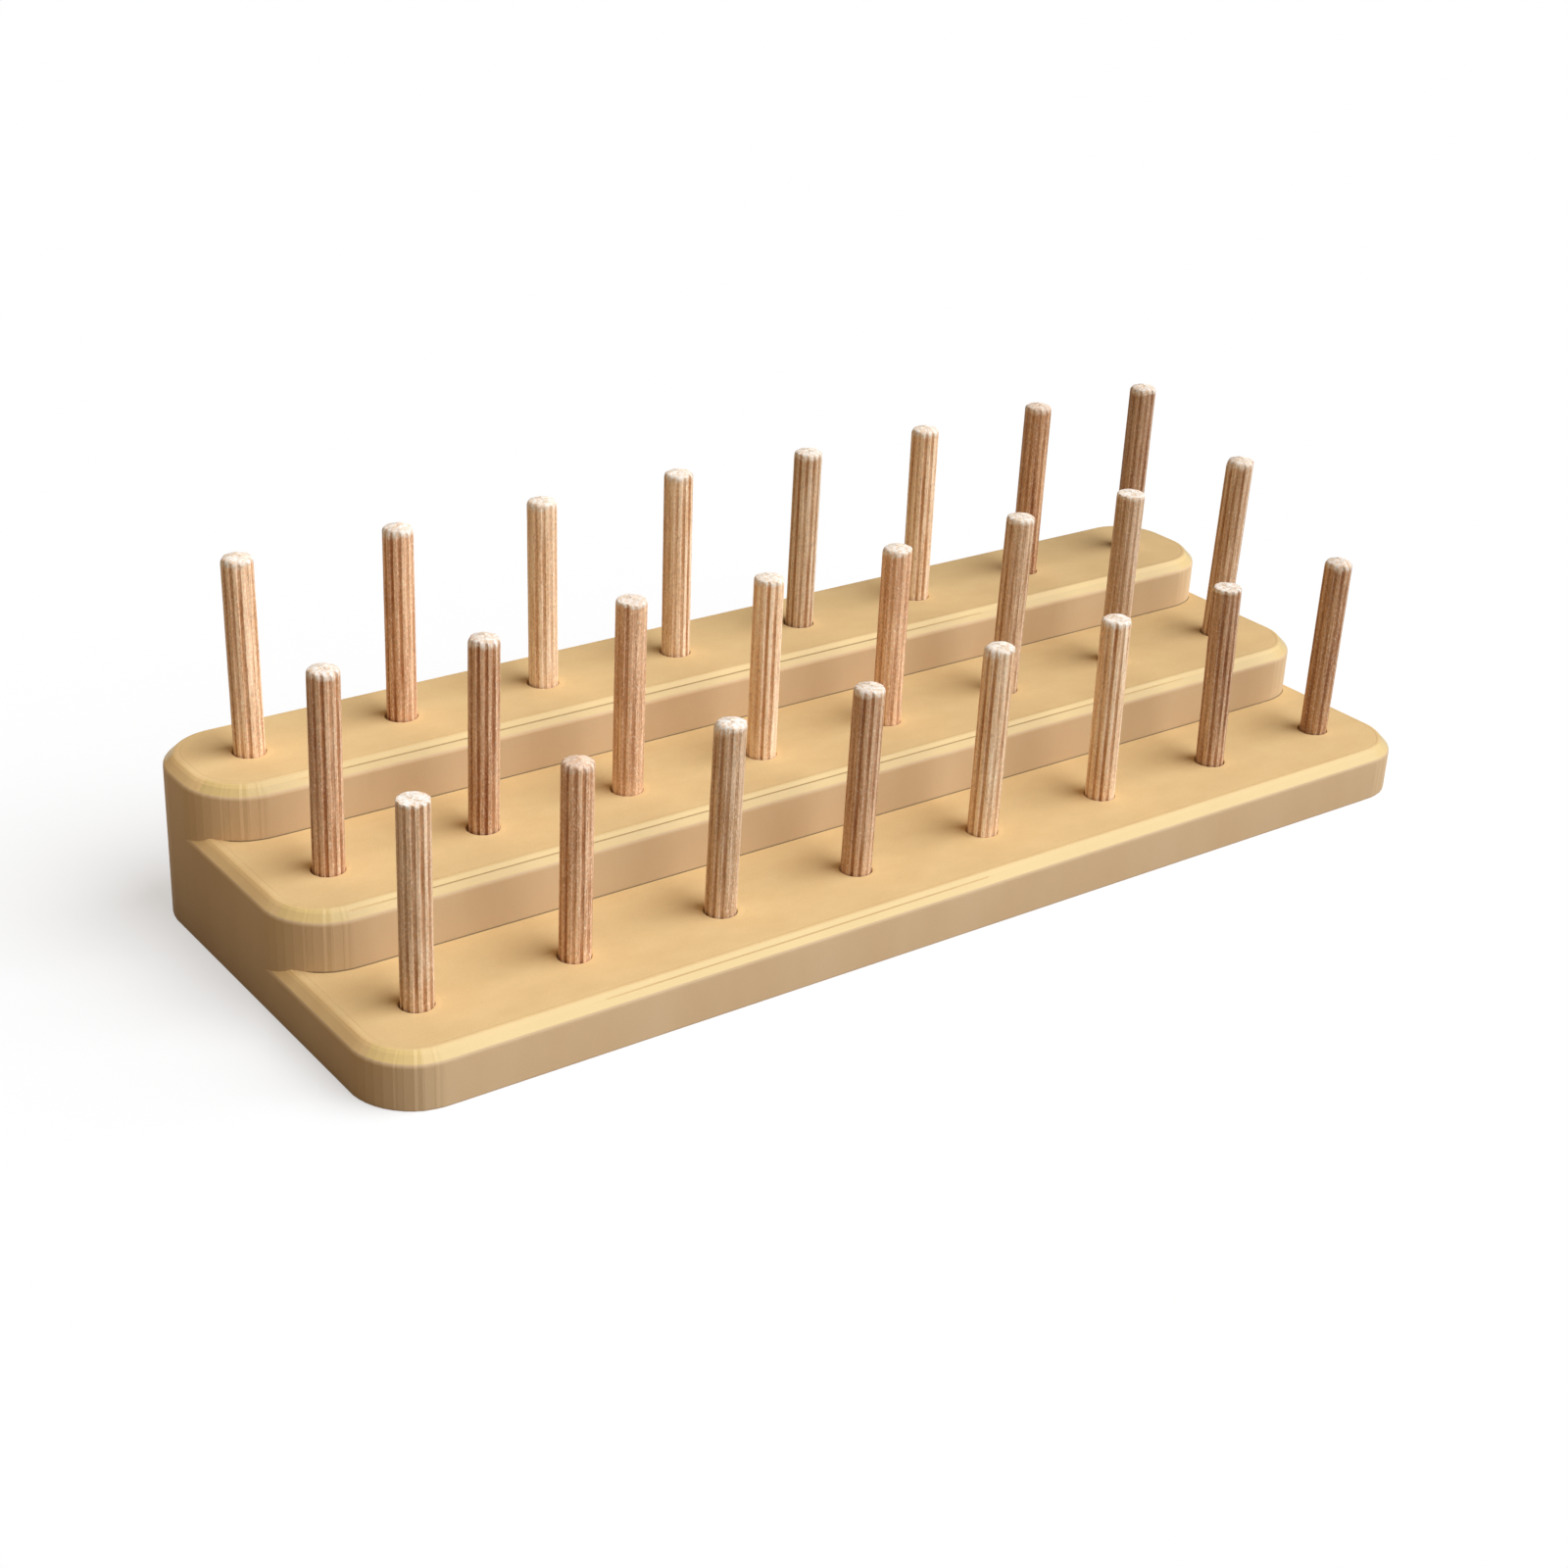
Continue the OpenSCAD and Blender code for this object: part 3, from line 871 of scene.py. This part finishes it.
def dowel(foot, stance, seed):
    """Side: the smaller of the rod's radius and the rounding of its two ends, a quarter of an
    ellipse. Ends: the side's last row, shrunk in rings towards the middle, with a height
    dome * (1 - share^2). The whole is turned by the lean about the socket's mouth. Gives the
    points, how far down a groove each lies, and how much of the pale sawn end it shows."""
    lean, shift, rise, reach, slant, dome, white, radius, left_deep = stance
    chance = np.random.default_rng(seed)
    turn = chance.uniform(0, 2 * math.pi)
    right = turn - math.atan2(CAMERA_RIGHT[1], CAMERA_RIGHT[0])
    length = DOWEL_LENGTH + rise
    z = np.where(ROWS > STAYS, ROWS + rise * (ROWS - STAYS) / (DOWEL_LENGTH - STAYS), ROWS)
    side, fibre, phases = worn_side(chance, z, left_deep)
    uneven = 1 + slant * np.cos(ANGLES + right) + 0.15 * np.sin(3 * ANGLES + phases[0])
    uneven = uneven + 0.12 * np.sin(7 * ANGLES + phases[1])
    below_top = (length - z)[:, None]
    edge = DOWEL_RADIUS - rounding(below_top, reach * uneven)
    edge = edge - rounding(z[:, None], FOOT_REACH * uneven)
    round_side = np.minimum(side + fibre, edge) * radius / DOWEL_RADIUS

    top, bottom = round_side[-1] * END_SHARES, round_side[0] * END_SHARES[::-1]
    rough = chance.normal(0, SAWN_ROUGH, top.shape) * (END_SHARES > 0)
    top_z = length + dome * (1 - END_SHARES**2) + rough
    out = np.concatenate([bottom, round_side, top])
    height = np.concatenate([bottom * 0, z[:, None] + 0 * ANGLES, top_z])
    points = np.stack([out * np.cos(ANGLES + turn), out * np.sin(ANGLES + turn), height], -1)
    slope = math.tan(math.radians(lean))
    away = math.tan(math.radians(chance.uniform(-AWAY_MOST, AWAY_MOST)))
    points = leaned(points, slope, away, radius) + foot
    points = points + (shift - SOCKET_DEPTH * slope) * CAMERA_RIGHT

    groove = np.clip((DOWEL_RADIUS - side) / FULLY_DARK, 0, 1)
    fuzz = np.clip(2.4 - 1.7 * below_top / (reach * uneven + 0.12), 0, 1) * (1 - 0.4 * groove)
    cut = np.concatenate([bottom * 0, groove, top * 0])
    ends = np.concatenate([bottom * 0 + 1, fuzz, top * 0 + 1]) * white
    return points, cut, ends


# %% Put a dowel's surface into a mesh
def dowel_object(name, points, cut, ends, shade):
    faces = grid_faces(*points.shape[:2], closed=True).reshape(-1, 4)
    mesh = bpy.data.meshes.new(name)
    mesh.from_pydata((points.reshape(-1, 3) * MM).tolist(), [], faces.tolist())
    for label, values in (("groove", cut), ("end", ends), ("shade", 0 * ends + shade)):
        layer = mesh.attributes.new(label, "FLOAT", "POINT")
        layer.data.foreach_set("value", values.ravel().astype(np.float32))
    loose = weld(mesh, near=1e-7)
    mesh.polygons.foreach_set("use_smooth", np.ones(len(mesh.polygons), bool))
    mesh.set_sharp_from_angle(angle=math.radians(35))
    made = bpy.data.objects.new(name, mesh)
    scene.collection.objects.link(made)
    return made, loose


# %% [markdown]
# ## Beech
#
# Beech is a pinkish tan wood with fine straight fibres and short dark flecks. Rolled grooves
# are painted a little darker, as shade in their hollows, and sawn end grain is pale and dry. The
# fibres are 0.05 mm wide, too fine to show, so the streaks are drawn 0.25 mm wide and 10 mm long.

# %% The wood
def beech(name, light, dark):
    wood = bpy.data.materials.new(name)
    tree = blank(wood)
    place = add(tree, "TexCoord").outputs["Object"]

    def noise(spread, detail):
        moved = add(tree, "Mapping", {"Vector": place, "Scale": spread}).outputs[0]
        return add(tree, "TexNoise", {"Vector": moved, "Scale": 1.0, "Detail": detail}).outputs[0]

    def mixed(part, first, second, how="MIX"):
        inputs = {0: part, 6: first, 7: second}
        return add(tree, "Mix", inputs, data_type="RGBA", blend_type=how).outputs[2]

    def known(label):
        return add(tree, "Attribute", attribute_name=label).outputs["Fac"]

    streak, patch = noise((3600, 3600, 100), 3.0), noise((600, 600, 45), 2.0)
    both = add(tree, "Math", {0: streak, 1: patch}, operation="ADD").outputs[0]
    ramp = add(tree, "MapRange", {"Value": both, "From Min": 0.84, "From Max": 1.16}).outputs[0]
    colour = mixed(ramp, linear(dark), linear(light))
    spots = add(tree, "MapRange", {"Value": noise((4200, 4200, 900), 1.0), "From Min": 0.62,
                                   "From Max": 0.7, "To Max": 0.35}).outputs[0]
    colour = mixed(spots, colour, linear("#8A5A38"))
    glint = add(tree, "MapRange", {"Value": noise((4600, 4600, 1500), 1.0), "From Min": 0.56,
                                   "From Max": 0.68, "To Max": 0.5}).outputs[0]
    colour = mixed(glint, colour, linear("#FFF0DA"))
    # Painted shade in the grooves, darker the deeper a point lies in one
    groove_shade = add(tree, "Math", {0: known("groove"), 1: 1.2}, operation="POWER").outputs[0]
    colour = mixed(groove_shade, colour, linear("#C9A88A"), "MULTIPLY")
    mottle = add(tree, "MapRange", {"Value": noise((2600, 2600, 1500), 2.0), "From Min": 0.3,
                                    "From Max": 0.7, "To Min": 0.86, "To Max": 1.14}).outputs[0]
    mottle = add(tree, "Math", {0: mottle, 1: known("shade")}, operation="MULTIPLY").outputs[0]
    shaded = add(tree, "VectorMath", {0: colour}, operation="SCALE")
    tree.links.new(mottle, shaded.inputs["Scale"])
    dots = add(tree, "TexNoise", {"Vector": place, "Scale": 1500.0, "Detail": 3.0}).outputs[0]
    dots = add(tree, "MapRange", {"Value": dots, "From Min": 0.37, "From Max": 0.57}).outputs[0]
    sawn = mixed(dots, linear("#EFD2B4"), linear("#FFFAF2"))
    ragged = add(tree, "MapRange", {"Value": noise((2600, 2600, 2600), 2.0), "To Min": -0.35,
                                    "To Max": 0.35}).outputs[0]
    end = known("end")
    edge = add(tree, "Math", {0: end, 1: ragged}, operation="ADD", use_clamp=True).outputs[0]
    finished = mixed(edge, shaded.outputs[0], sawn)
    relief = add(tree, "Bump", {"Height": streak, "Strength": 0.3, "Distance": 0.0001})
    body = add(tree, "BsdfPrincipled", {
        "Base Color": finished, "Roughness": 0.6, "IOR": 1.5, "Specular IOR Level": 0.35,
        "Normal": relief.outputs[0],
    })
    add(tree, "OutputMaterial", {"Surface": body.outputs[0]})
    return wood


WOODS = {
    "pale": beech("beech, rolled and sawn, pale", "#FFE8CB", "#E6BF97"),
    "tan": beech("beech, rolled and sawn, tan", "#F3D4B4", "#CFA780"),
    "red": beech("beech, rolled and sawn, reddish", "#ECC6A2", "#C79772"),
    "brown": beech("beech, rolled and sawn, brown", "#E1B48A", "#B8845C"),
}

# %% All the dowels
open_edges = []
for row, y, tread in zip(STANDING, PEG_Y, TREADS):
    for place, (*stance, wood, shade) in enumerate(STANDING[row], 1):
        foot = np.array([PEG_X[place - 1], y, tread - SOCKET_DEPTH])
        shape = dowel(foot, stance, seed=100 * len(row) + place)
        made, loose = dowel_object(f"dowel_{row}_{place}", *shape, shade)
        made.data.materials.append(WOODS[wood])
        node = f"peg_{row}_{place}"
        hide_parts(node)
        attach(made, node)
        open_edges.append(loose)
print("dowels:", len(open_edges), "open edges:", sum(open_edges))

# %% [markdown]
# ## The picture
#
# The Standard view shows colours as they are written.

# %% View and the end
scene.view_settings.view_transform = "Standard"
